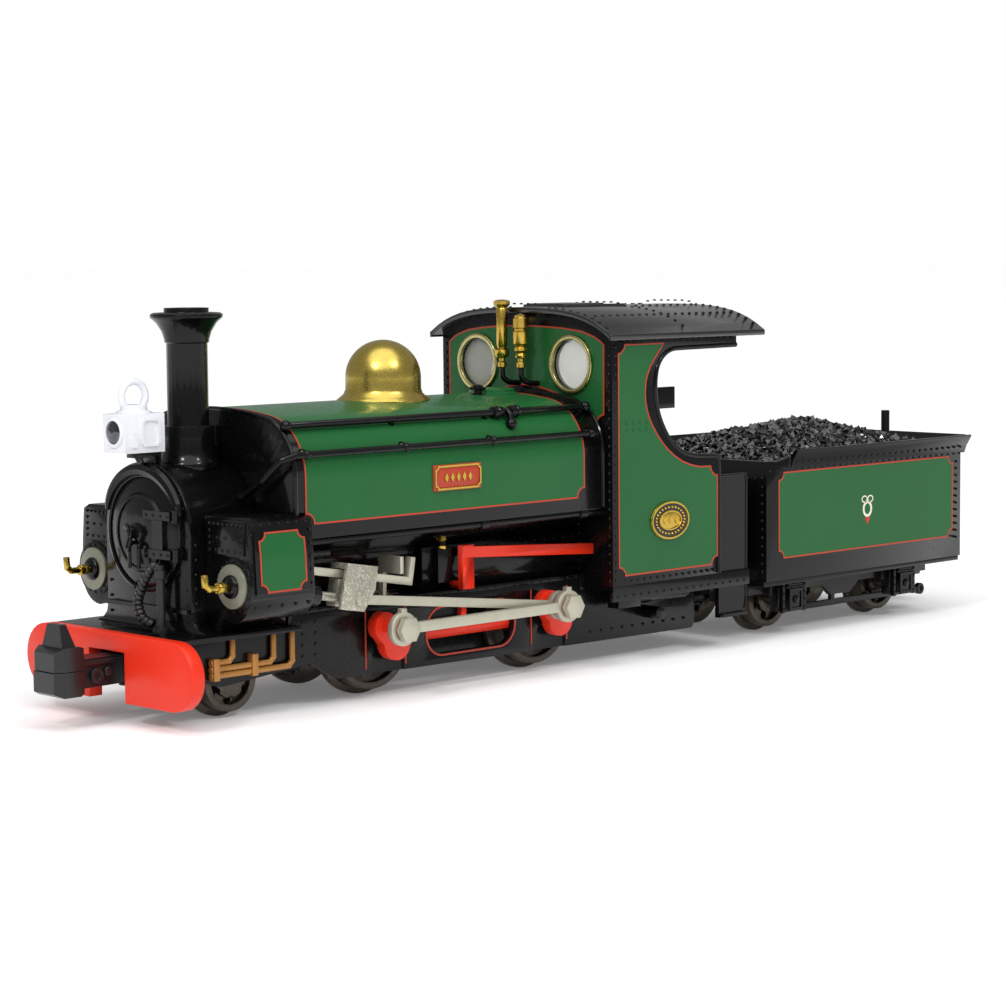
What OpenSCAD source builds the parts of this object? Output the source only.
// Outside-framed narrow-gauge saddle-tank engine with four-wheel tender, 1:76 scale, 9 mm gauge.
// x runs rearwards, the engine faces -x; y is across; z is up from the wheel flanges.
// The side with y < 0 is called left. Lengths are millimetres.

/* [Track and wheels] */
// back to back of every wheel pair [7.2:0.1:7.6]
back_to_back = 7.4;
// width of a tyre with its flange [2.0:0.1:2.4]
tyre_w = 2.2;
// flange radius of the coupled wheels [4.7:0.1:5.1]
drive_r = 4.9;
// flange radius of the leading wheels [3.0:0.1:3.4]
pony_r = 3.2;
// flange radius of the tender wheels [3.3:0.1:3.6]
tender_r = 3.5;
// radius of every axle [0.6:0.05:0.8]
axle_r = 0.75;
// distance between the coupled axles [19:0.5:21]
wheelbase = 20;
// distance between the tender axles [17:0.5:19]
tender_base = 18;

/* [Motion] */
// crank throw, half the piston stroke [1.8:0.1:2.1]
throw = 2;
// angle of the left crank in the drawn position [100:5:150]
crank_angle = 130;
// clearance of pins and axles in their holes, on the radius [0.02:0.01:0.1]
fit = 0.05;
// offset of the cylinder centre lines [9.4:0.02:9.6]
cyl_y = 9.54;
// height of the cylinder centre at its front cover [11.2:0.1:11.7]
cyl_z = 11.48;
// depth of the connecting rods [0.6:0.1:1.0]
rod_h = 0.8;

/* [Boiler and tank] */
// height of the boiler centre [15.2:0.1:15.6]
boiler_z = 15.4;
// radius of the smokebox [5.4:0.1:5.7]
smoke_r = 5.6;
// radius of the boiler barrel [6.4:0.1:6.6]
boiler_r = 6.6;
// half width of the saddle tank [10.3:0.05:10.6]
tank_hw = 10.45;
// height of the tank top [24.8:0.1:25.6]
tank_top = 25.3;
// height of the tank bottom edge [14.7:0.1:15.0]
tank_bot = 14.8;
// radius of the chimney barrel [1.6:0.05:1.85]
chimney_r = 1.73;
// height of the chimney rim [32.5:0.1:34.5]
chimney_top = 33.3;
// radius of the dome [3.2:0.1:3.6]
dome_r = 3.4;

/* [Cab] */
// half width of the cab [11.2:0.05:11.3]
cab_hw = 11.29;
// height of the roof at its middle [32.8:0.05:33.4]
roof_top = 33.15;
// thickness of the roof sheet [0.4:0.05:0.6]
roof_t = 0.5;
// radius of the window openings [2.1:0.05:2.4]
window_r = 2.3;

/* [Tender] */
// half width of the tender tank [11:0.05:11.3]
tender_hw = 11.25;
// height of the tender side sheets [16.5:0.1:17.2]
tender_side = 16.9;
// height of the flared coping [18.4:0.1:19.0]
coping_top = 18.8;
// height of the coal [20:0.1:21.5]
coal_top = 20.8;

/* [Hidden] */
$fn = 48;

mid = 27.2;                    // centre of the overall length, from the front coupled axle
drive_z = drive_r;             // height of the coupled axles
pony_x = -15.65;
tender_x = 53.1;               // front tender axle
slope = (cyl_z - drive_z) / (wheelbase + 18.35);   // fall of the cylinder centre line
tilt = atan(slope);
// layers of the motion, from the frames outwards
crank_y = [8.2, 9.2];
con_y = [9.95, 10.45];
plate_y = [10.55, 10.85];
side_y = [10.95, 11.55];
cap_y = 12.35;
pin_r = 0.55;
gud_x = -5.59;                 // gudgeon in the drawn position
gud_z = drive_z + slope * (wheelbase - gud_x);
gear_r = 2.2;
worm_z = drive_z + 3 * gear_r + 1.1;
rotor_r = 2.5;
frame_y = [7.0, 7.6];

function arc(c, r, a0, a1, n = 8) =
  [for (i = [0:n]) c + r * [cos(a0 + (a1 - a0) * i / n), sin(a0 + (a1 - a0) * i / n)]];
function pin(a) = [throw * cos(a), throw * sin(a)];
function hand_angle(s) = s < 0 ? crank_angle : crank_angle + 90;
function roofz(y) = roof_top - 0.0037 * y * y - 0.00009 * y * y * y * y;

module put() { translate([-mid, 0, 0]) children(); }
module hand(s) { if (s < 0) mirror([0, 1, 0]) children(); else children(); }
module both() { children(); mirror([0, 1, 0]) children(); }
module bx(a, b) { translate(a) cube([b[0] - a[0], b[1] - a[1], b[2] - a[2]]); }
// prism across y from a profile in x and z
module yrun(y0, y1) { translate([0, y1, 0]) rotate([90, 0, 0]) linear_extrude(y1 - y0) children(); }
// prism along x from a section in y and z
module xrun(x0, x1) { translate([x0, 0, 0]) rotate([90, 0, 90]) linear_extrude(x1 - x0) children(); }
module ycyl(x, z, r, y0, y1) { translate([x, y1, z]) rotate([90, 0, 0]) cylinder(r = r, h = y1 - y0); }
module xcyl(y, z, r, x0, x1) { translate([x0, y, z]) rotate([0, 90, 0]) cylinder(r = r, h = x1 - x0); }
module zcyl(x, y, r, z0, z1) { translate([x, y, z0]) cylinder(r = r, h = z1 - z0); }
// round bar between two points
module bar(a, b, r, ea = 0, eb = 0) {
  // ea and eb lengthen the two ends
  d = b - a;
  l = norm(d);
  translate(a) rotate([0, acos(d[2] / l), atan2(d[1], d[0])]) translate([0, 0, -ea]) cylinder(r = r, h = l + ea + eb, $fn = 12);
}
module pipe(pts, r) {
  n = len(pts) - 2;
  for (i = [0:n]) bar(pts[i], pts[i + 1], r, i == 0 ? 0 : r * 0.4, i == n ? 0 : r * 0.4);
}

// ---------------------------------------------------------------- wheels and gears

module wheel(x, z, flange, holes) {
  y0 = back_to_back / 2;
  tread = flange - 0.55;
  difference() {
    union() {
      ycyl(x, z, flange, y0, y0 + 0.6);
      ycyl(x, z, tread, y0, y0 + tyre_w);
    }
    difference() {
      ycyl(x, z, tread - 0.6, y0 + tyre_w - 0.6, y0 + tyre_w + 1);
      ycyl(x, z, axle_r + 0.75, y0, y0 + tyre_w + 1);
    }
    for (i = [0:holes - 1])
      ycyl(x + (tread + axle_r) / 2 * cos(360 / holes * (i + 0.5)),
        z + (tread + axle_r) / 2 * sin(360 / holes * (i + 0.5)), (tread - axle_r) / 5, y0 - 1, y0 + tyre_w + 1);
  }
}
module wheelset(x, z, flange, end_y, holes) {
  ycyl(x, z, axle_r, -end_y, end_y);
  both() wheel(x, z, flange, holes);
}
module crank(x, s) {
  p = pin(hand_angle(s));
  n = 1.2 / throw * [-p[1], p[0]];
  hand(s) {
    difference() {
      yrun(crank_y[0], crank_y[1]) translate([x, drive_z]) {
        circle(r = 1.5);
        translate(p) circle(r = 1.25);
        polygon([n, -n, p - n, p + n]);
      }
      ycyl(x, drive_z, axle_r, 0, crank_y[1] - 0.3);
    }
    ycyl(x + p[0], drive_z + p[1], pin_r, crank_y[1], side_y[1] + 0.05);
    ycyl(x + p[0], drive_z + p[1], 0.8, side_y[1] + 0.05, side_y[1] + 0.2);
    translate([x + p[0], cap_y, drive_z + p[1]]) rotate([90, 0, 0]) cylinder(r = 1.15, h = cap_y - side_y[1] - 0.2, $fn = 6);
  }
}
module gear(x, z, r, teeth, bore, phase) {
  difference() {
    yrun(-0.9, 0.9) translate([x, z]) polygon([for (i = [0:teeth - 1]) for (k = [0:3])
      (k == 0 || k == 3 ? r - 0.25 : r + 0.15) * [cos((i + phase + [-0.375, -0.125, 0.125, 0.375][k]) * 360 / teeth),
        sin((i + phase + [-0.375, -0.125, 0.125, 0.375][k]) * 360 / teeth)]]);
    ycyl(x, z, bore, -2, 2);
  }
}
module rear_wheelset() { wheelset(wheelbase, drive_z, drive_r, crank_y[1] - 0.3, 8); }
module front_wheelset() { wheelset(0, drive_z, drive_r, crank_y[1] - 0.3, 8); }
module rear_cranks() { crank(wheelbase, -1); crank(wheelbase, 1); }
module front_cranks() { crank(0, -1); crank(0, 1); }
module axle_gear() { gear(wheelbase, drive_z, gear_r, 20, axle_r, 0); }
module idler_gear() {
  gear(wheelbase, drive_z + 2 * gear_r, gear_r, 20, 0.5, 0.5);
  ycyl(wheelbase, drive_z + 2 * gear_r, 0.5, -2.1, 2.1);
}
module worm_shaft() {
  xcyl(0, worm_z, 0.5, 0.2, wheelbase + 3.6);
  for (i = [0:9]) xcyl(0, worm_z, 0.8, wheelbase - 2.4 + 0.5 * i, wheelbase - 2.15 + 0.5 * i);
}
// The motor's wound rotor turns with the shaft inside the can.
module motor_rotor() {
  difference() {
    xcyl(0, worm_z, rotor_r, 0.6, 9.8);
    xcyl(0, worm_z, 0.5, 0, 11);
  }
}
module pony_wheelset() { wheelset(pony_x, pony_r, pony_r, 5.9, 6); }
module tender_wheelset_front() { wheelset(tender_x, tender_r, tender_r, 7.9, 6); }
module tender_wheelset_rear() { wheelset(tender_x + tender_base, tender_r, tender_r, 7.9, 6); }

// ---------------------------------------------------------------- rods and crossheads

module coupling_rod(s) {
  p = pin(hand_angle(s));
  z = drive_z + p[1];
  hand(s) difference() {
    union() {
      for (x = [0, wheelbase]) {
        ycyl(x + p[0], z, 1.45, side_y[0], side_y[1]);
        bx([x + p[0] - 0.3, side_y[0], z], [x + p[0] + 0.3, side_y[1], z + 1.75]);
      }
      bx([p[0], side_y[0], z - 0.45], [wheelbase + p[0], side_y[1], z + 0.45]);
    }
    for (x = [0, wheelbase]) ycyl(x + p[0], z, pin_r + fit, 0, 20);
  }
}
module connecting_rod(s) {
  p = pin(hand_angle(s));
  // the small end stands on the centre line at the rod's own length from the crankpin
  l = norm([gud_x - wheelbase - pin(crank_angle)[0], gud_z - drive_z - pin(crank_angle)[1]]);
  g = con_end(p, l);
  a = atan2(g[1] - p[1], g[0] - p[0]);
  hand(s) translate([wheelbase + p[0], 0, drive_z + p[1]]) rotate([0, -a, 0]) difference() {
    union() {
      ycyl(0, 0, 1.3, con_y[0], con_y[1]);
      ycyl(l, 0, 0.85, con_y[0], con_y[1]);
      bx([0, con_y[0], -rod_h / 2], [l, con_y[1], rod_h / 2]);
    }
    ycyl(0, 0, pin_r + fit, 0, 20);
  }
}
// small end of a rod of length l whose big end stands at p from the rear axle
function con_end(p, l) =
  let (u = [-cos(tilt), sin(tilt)], b = p * u, c = p * p - l * l, t = b + sqrt(b * b - c)) t * u;
module crosshead(s) {
  l = norm([gud_x - wheelbase - pin(crank_angle)[0], gud_z - drive_z - pin(crank_angle)[1]]);
  g = con_end(pin(hand_angle(s)), l);
  hand(s) translate([wheelbase + g[0], 0, drive_z + g[1]]) rotate([0, tilt, 0]) {
    difference() {
      union() {
        bx([-1.9, 8.7, -0.75], [1.5, 9.88, 2.95]);
        bx([-1.9, 9.8, 2.45], [-1.5, plate_y[0] + 0.1, 2.95]);
        yrun(plate_y[0], plate_y[1]) polygon([[-2.1, -0.95], [0.55, -0.95], [1.5, 1.0], [1.5, 2.95], [-1.9, 2.95]]);
      }
      bx([-3, 9.0, 1.55], [3, 9.95, 2.45]);
    }
    ycyl(0, 0, 0.6, plate_y[1], plate_y[1] + 0.25);
    xcyl(cyl_y, 0, 0.38, -8.5, -1.8);
  }
}
module slidebars() {
  both() difference() {
    union() {
      translate([wheelbase, 0, drive_z]) rotate([0, tilt, 0]) {
        bx([-31.6, 9.05, 1.65], [-19.4, 9.85, 2.35]);
        bx([-19.9, 9.05, 1.65], [-19.4, 9.85, 4.1]);
      }
      bx([-0.2, 7.6, 10.9], [0.2, 9.85, 12.4]);
      bx([-0.2, 7.0, 8.6], [0.2, 7.6, 12.4]);
    }
    bx([-40, 0, 0], [-11.2, 20, 30]);
  }
}

// ---------------------------------------------------------------- frames and drive

module buffer_beam() {
  difference() {
    xrun(-23.87, -22.6) polygon(concat(arc([8.72, 4.63], 2.8, -90, 90, 14), arc([-8.72, 4.63], 2.8, 90, 270, 14)));
    bx([-25, -2.45, 0], [-20, 2.45, 6.0]);
  }
}
module running_plate() {
  difference() {
    union() {
      bx([-22.6, -8.8, 7.03], [-10.4, 8.8, 7.43]);
      bx([-10.8, -7.6, 7.43], [-10.4, 7.6, 8.6]);
      bx([-10.4, -7.6, 8.2], [24.7, 7.6, 8.6]);
      bx([24.7, -cab_hw, 7.1], [43.9, cab_hw, 7.57]);
      bx([24.2, -7.6, 7.1], [24.7, 7.6, 8.6]);
    }
    bx([-5.3, -6.3, 8], [5.3, -3.5, 9]);
    bx([-5.3, 3.5, 8], [5.3, 6.3, 9]);
    bx([14.7, -6.3, 8], [24.1, 6.3, 9]);
    for (k = [-1, 1]) bx([24, k * 4.9 - 1.4, 7], [24.8, k * 4.9 + 1.4, 8.2]);
  }
  both() bx([24.7, cab_hw - 0.4, 6.15], [43.9, cab_hw, 7.1]);
  bx([43.4, -10.4, 7.57], [43.9, 10.4, 16.3]);
  bx([-22.6, -1.2, 6.1], [-20.5, 1.2, 7.03]);
  zcyl(-21.6, 0, 0.5, 3.1, 6.1);
  zcyl(-21.6, 0, 0.9, 2.9, 3.1);
}
module outside_frames() {
  both() difference() {
    yrun(frame_y[0], frame_y[1]) polygon(concat([[-22.6, 7.03], [-22.6, 2.2], [-20.6, 2.2]],
      arc([-17.2, 7.6], 4.6, 235, 262, 5), [[-8.2, 3.9], [-5.6, 2.25], [39.6, 1.95], [40, 2.4], [40, 7.1],
      [24.2, 7.1], [24.2, 8.2], [-10.4, 8.2], [-10.4, 7.03]]));
    for (x = [0, wheelbase]) {
      bx([x - 2.1, frame_y[1] - 0.2, 0], [x + 2.1, 9, 7.1]);
      ycyl(x, drive_z, 1.05, 0, 9);
    }
    yrun(6, 9) polygon(concat(arc([13.7, 5.3], 1.8, 0, 90, 5), arc([6.7, 5.3], 1.8, 90, 180, 5),
      arc([6.7, 4.9], 1.8, 180, 270, 5), arc([13.7, 4.9], 1.8, 270, 360, 5)));
  }
}
module chassis_block() {
  difference() {
    union() {
      bx([-7, -3.3, 4.1], [24.1, 3.3, 8.2]);
      bx([24.1, -3.3, 4.1], [42, 3.3, 7.1]);
      both() bx([wheelbase - 1.4, 1.2, 8.2], [wheelbase + 1.4, 2.1, 10.6]);
    }
    for (x = [0, wheelbase]) {
      ycyl(x, drive_z, axle_r + fit, -9, 9);
      bx([x - axle_r - fit, -9, 4], [x + axle_r + fit, 9, drive_z]);
    }
    bx([wheelbase - 2.8, -1.2, 4], [wheelbase + 2.8, 1.2, 9]);
    ycyl(wheelbase, drive_z + 2 * gear_r, 0.5 + fit, -5, 5);
    for (x = [-5, 10, 32, 40]) zcyl(x, 0, 0.55, 3, 7);
  }
}
module keeper_plate() {
  difference() {
    bx([-7, -3.3, 3.3], [36, 3.3, 4.1]);
    for (x = [-5, 10, 32]) zcyl(x, 0, 0.55, 3, 5);
    bx([wheelbase - 2.8, -1.2, 3], [wheelbase + 2.8, 1.2, 5]);
  }
}
module screws() {
  for (x = [10, 32]) {
    zcyl(x, 0, 0.5, 3.3, 6.9);
    zcyl(x, 0, 1, 2.9, 3.3);
  }
  zcyl(-5, 0, 0.5, 2.2, 6.9);
  zcyl(-5, 0, 1, 1.9, 2.2);
  zcyl(40, 0, 0.5, 3.1, 6.9);
  zcyl(40, 0, 1, 2.8, 3.1);
}
module pickups() {
  both() {
    bx([2, 3.3, 5.6], [18, 3.45, 6.1]);
    for (x = [3.6, 16]) bx([x, 3.3, 4.3], [x + 0.4, 3.45, 5.6]);
  }
}
module motor() {
  difference() {
    union() {
      xrun(-2, 12) intersection() {
        translate([0, worm_z]) circle(r = 4.6);
        translate([-3.5, 8.6]) square([7, 8]);
      }
      xcyl(0, worm_z, 1.6, 12, 12.8);
    }
    xcyl(0, worm_z, 0.5 + fit, 10, 14);
    xcyl(0, worm_z, rotor_r + 0.3, 0, 10.4);
  }
}
module circuit_board() {
  bx([-8, -4.2, 16.6], [12, 4.2, 17.2]);
  bx([-4, -2.8, 17.2], [5, 2.8, 18.8]);
}

// ---------------------------------------------------------------- boiler, tank and smokebox

module smokebox() {
  difference() {
    union() {
      xcyl(0, boiler_z, smoke_r, -19.45, -11.2);
      xcyl(0, boiler_z, smoke_r + 0.15, -19.45, -19.0);
      xrun(-19.45, -11.2) polygon([[-5.75, 15.4], [-5.75, 9.2], [-5.95, 8.3], [-6.5, 7.75], [-7.4, 7.43],
        [7.4, 7.43], [6.5, 7.75], [5.95, 8.3], [5.75, 9.2], [5.75, 15.4]]);
      bx([-20.9, -0.7, 21.6], [-18.4, 0.7, 22.1]);
      bx([-19.1, -0.7, 20.5], [-18.4, 0.7, 21.7]);
    }
    xcyl(0, boiler_z, smoke_r - 0.8, -18.6, -10);
    bx([-18.4, -4.9, 8.2], [-10, 4.9, 15]);
    bx([-17.95, -9, 7], [-11, -5.8, 18]);
    bx([-17.95, 5.8, 7], [-11, 9, 18]);
  }
}
module smokebox_door() {
  translate([-19.45, 0, boiler_z]) rotate([0, -90, 0]) rotate_extrude()
    polygon([[0, 0], [4.75, 0], [4.75, 0.25], [4.3, 0.45], [3, 0.8], [1.5, 1.0], [0, 1.05]]);
  xcyl(0, boiler_z, 0.5, -20.8, -20.4);
  xcyl(0, boiler_z, 0.22, -21.5, -20.7);
  translate([-21.3, 0, boiler_z]) rotate([25, 0, 0]) bx([-0.15, -0.18, -1.3], [0.15, 0.18, 0.3]);
  translate([-20.95, 0, boiler_z]) rotate([-60, 0, 0]) bx([-0.15, -0.18, -0.4], [0.15, 0.18, 1.2]);
  for (z = [13.8, 17]) difference() {
    bx([-20.35, -4.6, z - 0.35], [-19.5, -0.6, z + 0.35]);
    translate([-19.45, 0, boiler_z]) rotate([0, -90, 0]) rotate_extrude()
      polygon([[0, -1], [4.75, -1], [4.75, 0.25], [4.3, 0.45], [3, 0.8], [1.5, 1.0], [0, 1.05]]);
  }
}
module chimney() {
  difference() {
    translate([-15, 0, 0]) rotate_extrude() polygon([[0, 18], [2.65, 18], [2.65, 20.9], [2.4, 21.3], [2.2, 22],
      [2.13, 23], [2.13, 24], [chimney_r, 24.05], [chimney_r, chimney_top - 2.4], [chimney_r + 0.15, chimney_top - 2.3],
      [chimney_r + 0.15, chimney_top - 2.1], [2.1, chimney_top - 1.4], [2.55, chimney_top - 0.7],
      [3.04, chimney_top - 0.25], [3.04, chimney_top], [2.8, chimney_top + 0.15], [1.87, chimney_top + 0.2],
      [1.87, chimney_top + 0.55], [1.4, chimney_top + 0.55], [1.2, chimney_top - 2], [0, chimney_top - 2]]);
    xcyl(0, boiler_z, smoke_r, -25, -5);
  }
}
module tank_section(g) {
  // g shrinks the section evenly
  c = [5.5, 19.9 + tank_top - 25.3];
  r = tank_hw - 5.5;
  polygon(concat([[tank_hw - g, tank_bot - (g > 0 ? 1 : 0)]], arc(c, r - g, 0, 81, 14),
    [for (i = [4:-1:-4]) [6.25 * i / 5, tank_top - g - pow(6.25 * i / 5, 2) / 77]],
    arc([-c[0], c[1]], r - g, 99, 180, 14), [[-tank_hw + g, tank_bot - (g > 0 ? 1 : 0)]]));
}
module saddle_tank() {
  difference() {
    union() {
      xrun(-12.3, 24.7) tank_section(0);
    }
    xrun(-11.5, 23.9) intersection() {
      tank_section(0.8);
      translate([-20, tank_bot + 0.8]) square([40, 20]);
    }
    xcyl(0, boiler_z, boiler_r, -11.2, 30);
    xcyl(0, boiler_z, smoke_r, -20, -11);
    both() bx([-13, 4, 10], [-11.2, 12, 17]);
  }
}
module boiler() {
  difference() {
    union() {
      xcyl(0, boiler_z, boiler_r, -11.2, 24.7);
      bx([5, -6.9, 8.6], [24.7, 6.9, 12.5]);
      bx([-9, -5, 8.6], [-6.5, 5, 12]);
    }
    xcyl(0, boiler_z, boiler_r - 0.6, -10.6, 24.1);
    bx([5.6, -6.3, 8], [24.1, 6.3, 12.5]);
    bx([-6.5, -3.7, 8], [24.1, 3.7, 14]);
    bx([-5.4, -6.1, 8], [5.6, 6.1, 10.3]);
  }
}
module dome() {
  difference() {
    translate([6.85, 0, 0]) rotate_extrude()
      polygon(concat([[0, 24], [4.2, 24], [4.2, tank_top - 0.05], [3.9, tank_top + 0.2], [dome_r + 0.15, tank_top + 0.5],
        [dome_r, tank_top + 0.9]], arc([0, 27.2 + tank_top - 25.3], dome_r, 0, 85, 12), [[0, 27.2 + dome_r + tank_top - 25.3]]));
    xrun(0, 14) tank_section(0);
  }
}
module whistles() {
  zcyl(22.9, 1.2, 0.53, 29, 33.4);
  zcyl(22.9, 1.2, 0.78, 33.4, 33.9);
  zcyl(22.9, 1.2, 0.7, 28.6, 29.4);
  zcyl(22.9, -1.3, 0.72, 29.6, 32.4);
  zcyl(22.9, -1.3, 0.55, 28.6, 29.6);
  zcyl(22.9, -1.3, 0.6, 32.4, 32.6);
  for (y = [1.2, -1.3]) pipe([[22.9, y, 28.8], [22.9, y, 27.2], [23.5, y, 26.4], [24.7, y, 26.3]], 0.28);
}

// ---------------------------------------------------------------- cab

module cab_body() {
  difference() {
    union() {
      xrun(24.7, 25.3) polygon(concat([[-cab_hw, 7.57], [cab_hw, 7.57]],
        [for (i = [10:-1:-10]) [cab_hw * i / 10, roofz(cab_hw * i / 10) - roof_t - 0.03]]));
      both() yrun(cab_hw - 0.6, cab_hw) polygon([[25.3, 7.57], [39.54, 7.57], [39.54, 18.85], [36.3, 18.95],
        [34.5, 19.35], [32.9, 20.3], [31.8, 21.7], [31.0, 23.2], [30.6, 25.0], [30.6, 26.5], [30.9, 27.7],
        [31.6, 28.6], [32.9, 29.2], [42, 29.3], [42, 30.4], [25.3, 30.4]]);
    }
    for (y = [-6.22, 6.22]) xcyl(y, 27.92, window_r, 24, 26);
  }
  both() xrun(25.3, 42) polygon([[cab_hw - 0.6, 30.4], [cab_hw, 30.4], [cab_hw, roofz(cab_hw) - roof_t - 0.03],
    [cab_hw - 0.6, roofz(cab_hw - 0.6) - roof_t - 0.03]]);
}
module cab_roof() {
  xrun(23.7, 45.3) polygon(concat([for (i = [-12:12]) [i, roofz(i)]], [for (i = [12:-1:-12]) [i, roofz(i) - roof_t]]));
  both() xrun(23.7, 45.3) polygon([[11.8, roofz(11.8) - roof_t + 0.1], [12, roofz(12)], [12.1, roofz(12)], [12.1, roofz(12) - 0.55], [11.8, roofz(12) - 0.55]]);
  bx([27.4, -2.5, roof_top - 0.1], [32.9, 2.5, roof_top + 0.3]);
  bx([27.4, -2.9, roof_top - 0.1], [35.5, -2.5, roof_top + 0.2]);
  bx([27.4, 2.5, roof_top - 0.1], [35.5, 2.9, roof_top + 0.2]);
}
module window_rings() {
  for (y = [-6.22, 6.22]) difference() {
    xcyl(y, 27.92, 2.73, 24.35, 24.7);
    xcyl(y, 27.92, window_r, 24, 25);
  }
}
module window_glass() { for (y = [-6.22, 6.22]) xcyl(y, 27.92, window_r, 24.9, 25.2); }
module backhead() {
  bx([25.3, -4.6, 7.57], [27.6, 4.6, 19]);
  xcyl(0, 19, 4.6, 25.3, 27.6);
  xcyl(0, 12, 1.5, 27.6, 28);
  xcyl(0, 19.5, 0.4, 27.6, 29.4);
  bx([29, -2.2, 19.3], [29.3, 0.4, 19.7]);
  for (y = [-2.6, 2.6]) xcyl(y, 22.2, 0.9, 27.2, 28.2);
  bx([25.3, 6.4, 7.57], [30, 10.3, 13]);
  bx([25.3, -10.3, 7.57], [30, -6.4, 13]);
  bx([27.4, -10.3, 13], [28, -9.7, 25.4]);
  bx([27.4, -10.3, 23.6], [34.3, -9.9, 25.6]);
}
module nameplates() { both() bx([3.1, tank_hw, 17.8], [8.7, tank_hw + 0.2, 20.05]); }
module works_plates() {
  both() yrun(cab_hw, cab_hw + 0.2) polygon([for (i = [0:47]) [32.3 + 2.6 * cos(i * 7.5), 13.2 + 1.78 * sin(i * 7.5)]]);
}

// ---------------------------------------------------------------- cylinders and pipes

module cylinder_block(s) {
  hand(s) difference() {
    union() {
      xrun(-17.9, -11.2) polygon(concat([[5.8, 17], [5.8, 7.43], [7.6, 7.43], [7.9, 8.7]],
        arc([9.1, 10.9], 2.5, -90, 0, 8), [[11.6, 11], [11.45, 14], [11.2, 16.6], [10.4, 17]]));
      xcyl(cyl_y, cyl_z, 2.3, -18.05, -17.8);
      bx([-18.05, 6.2, 14], [-17.8, 10.9, 16.7]);
      xrun(-17.4, -11.8) polygon([[11.3, 10.5], [11.75, 10.9], [11.6, 14], [11.35, 15.9], [11, 15.9]]);
      xcyl(9.4, 13.45, 0.45, -11.3, -8);
      translate([wheelbase, 0, drive_z]) rotate([0, tilt, 0]) xcyl(cyl_y, 0, 0.95, -31.8, -29.9);
    }
    translate([wheelbase, 0, drive_z]) rotate([0, tilt, 0]) {
      xcyl(cyl_y, 0, 0.38 + fit, -36.4, -29);
      bx([-31.7, 9.05, 1.65], [-31.5, 9.85, 2.35]);
    }
  }
}
module cylinder_covers() {
  both() {
    xcyl(cyl_y, cyl_z, 1.82, -18.3, -18.05);
    xcyl(cyl_y, cyl_z, 0.75, -18.6, -18.3);
  }
}
module cover_cocks() {
  both() {
    pipe([[-18.6, cyl_y, cyl_z], [-20.5, cyl_y, cyl_z], [-20.9, cyl_y, cyl_z + 0.3], [-21, cyl_y, cyl_z + 1.2]], 0.28);
    xcyl(cyl_y, cyl_z, 0.45, -19.7, -19);
  }
}
module drain_pipes() {
  both() {
    for (k = [0:2]) {
      x = [-17, -12.7, -10.7][k];
      z = 5.15 - 0.54 * k;
      pipe([[x, 7.9, 7.03], [x, 7.9, z + 0.4], [x - 0.4, 7.9, z], [-19.3, 7.9, z]], 0.26);
    }
    for (x = [-18.9, -14.9]) bx([x - 0.3, 7.6, 3.7], [x + 0.3, 8.3, 5.5]);
  }
}
module reversing_link() {
  difference() {
    union() {
      translate([24.7, 0, 10.95]) rotate([0, 3.6, 0]) bx([-16.6, -8.8, -0.45], [0.5, -8.2, 0.5]);
      bx([8.1, -8.8, 8.7], [9.5, -8.2, 12.6]);
      bx([8.3, -8.8, 8.7], [9.3, -6.9, 9.4]);
    }
    bx([24.7, -20, 0], [30, 0, 20]);
  }
}
module lubricators() {
  both() {
    bx([6.1, 6.9, 9.4], [7.8, 7.8, 12.4]);
    zcyl(6.9, 7.35, 0.4, 12.4, 13.5);
  }
}
module handrails() {
  both() {
    pipe([[23.6, 8.9, 24.15], [-11.8, 8.9, 24.15]], 0.3);
    for (x = [-11.5, 0, 11, 23]) bar([x, 8.3, 23.2], [x, 8.9, 24.15], 0.25);
    pipe([[23.4, 10.6, 21.8], [-12.2, 10.6, 21.8], [-13.3, 10.1, 21.4], [-13.6, 8, 19.6], [-13.6, 5.6, 18.3]], 0.3);
    for (x = [-11, 0, 10.3, 22.6]) bar([x, 9.7, 21.8], [x, 10.6, 21.8], 0.25);
    bar([-13.6, 5.6, 18.3], [-13.6, 4.9, 18.2], 0.3);
    xcyl(10, 14.5, 0.3, -10.9, 24.7);
    for (x = [12.5, 14.3]) xcyl(8.9, 24.15, 0.5, x - 0.4, x + 0.4);
  }
}
module headlamp() {
  difference() {
    union() {
      bx([-22.6, -1.5, 22.1], [-18.6, 1.5, 25.3]);
      zcyl(-20.6, 0, 1.1, 25.3, 26);
      translate([-20.6, 0, 26.7]) rotate([90, 0, 0]) rotate_extrude() translate([1.2, 0]) circle(r = 0.3, $fn = 16);
    }
    xcyl(0, 23.8, 0.95, -23, -22.2);
  }
}
module lamp_lens() {
  translate([-22.2, 0, 23.8]) rotate([0, -90, 0]) rotate_extrude() polygon([[0, 0], [0.95, 0], [0.95, 0.45], [0.6, 0.6], [0, 0.7]]);
}
module front_hose() {
  zcyl(-20.6, -3.2, 0.4, 7.43, 12.9);
  zcyl(-20.6, -3.2, 0.7, 7.43, 7.8);
  pipe([[-20.6, -3.2, 12.7], [-20.8, -2.6, 12.9], [-21.2, -1.6, 11.4], [-21.3, -0.9, 9.6], [-21.1, -1.4, 8.3], [-20.7, -2.4, 7.9]], 0.42);
}
module cab_steps() {
  both() {
    bx([40, 10.4, 3.2], [43.6, 10.8, 7.1]);
    bx([40, 10.8, 3.2], [43.6, 11.3, 3.5]);
    bx([27, 8.4, 5.2], [30, 9.8, 7.1]);
    ycyl(33, 4.2, 0.6, 7.6, 9.6);
    xcyl(8.9, 5.9, 0.6, 29.8, 37);
    bx([36.4, 8.3, 5.6], [37.4, 9.5, 7.1]);
  }
}
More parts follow.
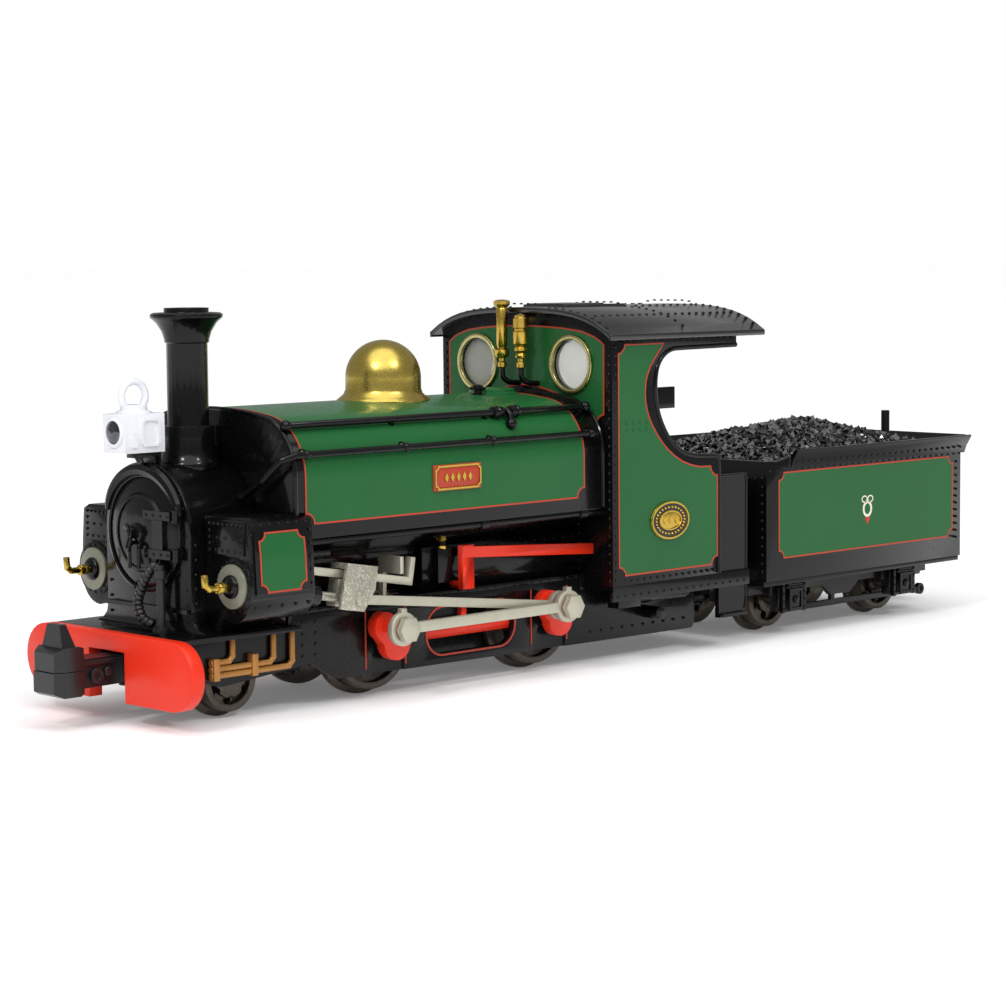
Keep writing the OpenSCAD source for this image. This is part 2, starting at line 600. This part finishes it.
module brake_rigging() {
  both() {
    bx([4, 6.45, 4.4], [16.2, 7.0, 5.1]);
    bx([9.6, 6.45, 5.1], [10.2, 7.0, 8.2]);
  }
}

// ---------------------------------------------------------------- leading truck, couplings, drawbar

module pony_truck() {
  difference() {
    union() {
      zcyl(-5, 0, 1.6, 2.3, 3.2);
      bx([-15, -1.6, 2.3], [-5, 1.6, 3.2]);
      bx([-17.6, -3.3, 2.3], [-13.8, 3.3, 4.6]);
    }
    zcyl(-5, 0, 0.5 + fit, 2, 4);
    ycyl(pony_x, pony_r, axle_r + fit, -9, 9);
    bx([pony_x - axle_r - fit, -9, 2], [pony_x + axle_r + fit, 9, pony_r]);
    bx([-30, -9, 4.6], [0, 9, 6]);
  }
}
module coupling(px, dir) {
  // pivot at px, buffing face towards dir
  translate([px, 0, 0]) scale([dir, 1, 1]) {
    difference() {
      union() {
        zcyl(0, 0, 1.3, 3.3, 5.7);
        bx([0, -1.3, 3.3], [5.8, 1.3, 5.7]);
        yrun(-1.9, 1.9) polygon([[5.7, 3.2], [6.1, 2.8], [8.0, 2.8], [8.45, 3.2], [8.45, 6.5], [8.1, 6.85], [5.7, 6.85]]);
        xrun(6.6, 7.3) polygon([[-1.45, 6.8], [1.45, 6.8], [0.85, 8.65], [-0.85, 8.65]]);
        bx([5.8, -0.2, 6.8], [7.7, 0.2, 8.2]);
        ycyl(3.7, 4.3, 0.6, -1.7, 1.7);
      }
      zcyl(0, 0, 0.5 + fit, 0, 9);
    }
  }
}
module front_coupling() { coupling(-21.6, -1); }
module rear_coupling() { coupling(76, 1); }
module drawbar() {
  difference() {
    union() {
      zcyl(40, 0, 1.5, 3.15, 3.95);
      zcyl(48.6, 0, 1.5, 3.15, 3.95);
      bx([40, -1, 3.15], [48.6, 1, 3.95]);
    }
    zcyl(40, 0, 0.5 + fit, 0, 9);
    zcyl(48.6, 0, 0.5 + fit, 0, 9);
  }
}

// ---------------------------------------------------------------- tender

module tender_plan(g, f) {
  // plan of the tender tank, g inside its outer face, f further at the front
  polygon([[46.5 + g + f, -tender_hw + g], [78.2 - g, -tender_hw + g], [78.2 - g, tender_hw - g], [46.5 + g + f, tender_hw - g]]);
}
module tender_body() {
  difference() {
    translate([0, 0, 6]) linear_extrude(tender_side - 6) tender_plan(0, 0);
    translate([0, 0, 5]) linear_extrude(9.6) tender_plan(0.7, 0);
    translate([0, 0, 15.4]) linear_extrude(9) tender_plan(0.7, 0);
  }
  both() xrun(50.2, 78.9) polygon([[tender_hw - 0.7, tender_side], [tender_hw, tender_side], [tender_hw + 0.25, tender_side + 0.7],
    [tender_hw + 0.85, coping_top - 0.2], [tender_hw + 0.9, coping_top], [tender_hw + 0.5, coping_top],
    [tender_hw - 0.45, tender_side + 0.7]]);
  both() yrun(tender_hw - 0.7, tender_hw) polygon([[46.5, tender_side], [50.2, tender_side], [50.2, tender_side + 1.2], [48.4, tender_side + 0.9], [46.5, tender_side + 0.9]]);
  bx([46.5, -tender_hw + 0.7, tender_side], [47.2, tender_hw - 0.7, tender_side + 0.9]);
  translate([0, tender_hw, 0]) rotate([90, 0, 0]) linear_extrude(2 * tender_hw) polygon([[77.5, tender_side], [78.2, tender_side],
    [78.45, tender_side + 0.7], [79.05, coping_top - 0.2], [79.1, coping_top], [78.7, coping_top], [77.75, tender_side + 0.7]]);
  zcyl(76, -3, 0.45, 15.4, 21.2);
  zcyl(76, -3, 0.8, 15.4, 16.2);
}
module tender_coal() {
  difference() {
    hull() {
      bx([47.3, -10.5, 15.4], [77.4, 10.5, 17.2]);
      for (y = [-4.5, 4.5]) {
        translate([57, y, 18.2]) sphere(r = 1.2, $fn = 20);
        translate([71, y, 17.6]) sphere(r = 1.2, $fn = 20);
      }
      translate([65.5, 0, coal_top - 2]) sphere(r = 2, $fn = 24);
    }
    zcyl(76, -3, 0.9, 15, 25);
  }
}
module tender_chassis() {
  difference() {
    union() {
      bx([46.4, -11, 5.5], [78.2, 11, 6]);
      bx([47.2, -3.3, 4.1], [77.6, 3.3, 5.5]);
      for (x = [tender_x, tender_x + tender_base]) {
        bx([x - 2, -3.3, 2.7], [x + 2, 3.3, 4.1]);
        both() {
          bx([x - 2.2, 8.0, 2.5], [x + 2.2, 9.0, 4.9]);
          bx([x - 0.9, 9.0, 2.6], [x + 0.9, 9.5, 4.6]);
          bx([x - 2.8, 7.4, 4.1], [x + 2.8, 8.6, 5.5]);
        }
      }
      both() {
        bx([47.5, 7.4, 4.3], [76.5, 8.0, 5.5]);
        yrun(7.4, 8) polygon([[57.5, 5.5], [60.6, 3.2], [63.6, 3.2], [66.7, 5.5]]);
        bx([54, 6.6, 1.9], [77, 7.0, 2.5]);
        bx([61.8, 6.6, 2.5], [62.4, 7.0, 5.5]);
      }
      bx([77.4, -4.6, 3.0], [78.2, 4.6, 5.5]);
    }
    for (x = [tender_x, tender_x + tender_base]) {
      ycyl(x, tender_r, axle_r + fit, -8.1, 8.1);
      bx([x - axle_r - fit, -3.4, 2], [x + axle_r + fit, 3.4, tender_r]);
      both() bx([x - 4.1, 3.45, 5], [x + 4.1, 6.5, 7]);
    }
    bx([73.5, -2.45, 2], [80, 2.45, 5.8]);
  }
  zcyl(48.6, 0, 0.5, 3.0, 5.4);
  zcyl(48.6, 0, 0.9, 2.7, 3.0);
  zcyl(76, 0, 0.5, 3.1, 5.9);
  zcyl(76, 0, 0.9, 2.9, 3.1);
}

put() buffer_beam();
put() running_plate();
put() outside_frames();
put() chassis_block();
put() keeper_plate();
put() smokebox();
put() smokebox_door();
put() chimney();
put() saddle_tank();
put() dome();
put() whistles();
put() boiler();
put() cab_body();
put() cab_roof();
put() window_rings();
put() window_glass();
put() backhead();
put() cylinder_block(-1);  // cylinder_left
put() cylinder_block(1);  // cylinder_right
put() cylinder_covers();
put() cover_cocks();
put() slidebars();
put() drain_pipes();
put() reversing_link();
put() lubricators();
put() handrails();
put() nameplates();
put() works_plates();
put() headlamp();
put() lamp_lens();
put() front_hose();
put() cab_steps();
put() brake_rigging();
put() motor();
put() circuit_board();
put() pickups();
put() screws();
put() rear_wheelset();
put() rear_cranks();
put() axle_gear();
put() front_wheelset();
put() front_cranks();
put() coupling_rod(-1);  // coupling_rod_left
put() coupling_rod(1);  // coupling_rod_right
put() connecting_rod(-1);  // connecting_rod_left
put() connecting_rod(1);  // connecting_rod_right
put() crosshead(-1);  // crosshead_left
put() crosshead(1);  // crosshead_right
put() worm_shaft();
put() motor_rotor();
put() idler_gear();
put() pony_truck();
put() pony_wheelset();
put() front_coupling();
put() drawbar();
put() tender_body();
put() tender_coal();
put() tender_chassis();
put() tender_wheelset_front();
put() tender_wheelset_rear();
put() rear_coupling();
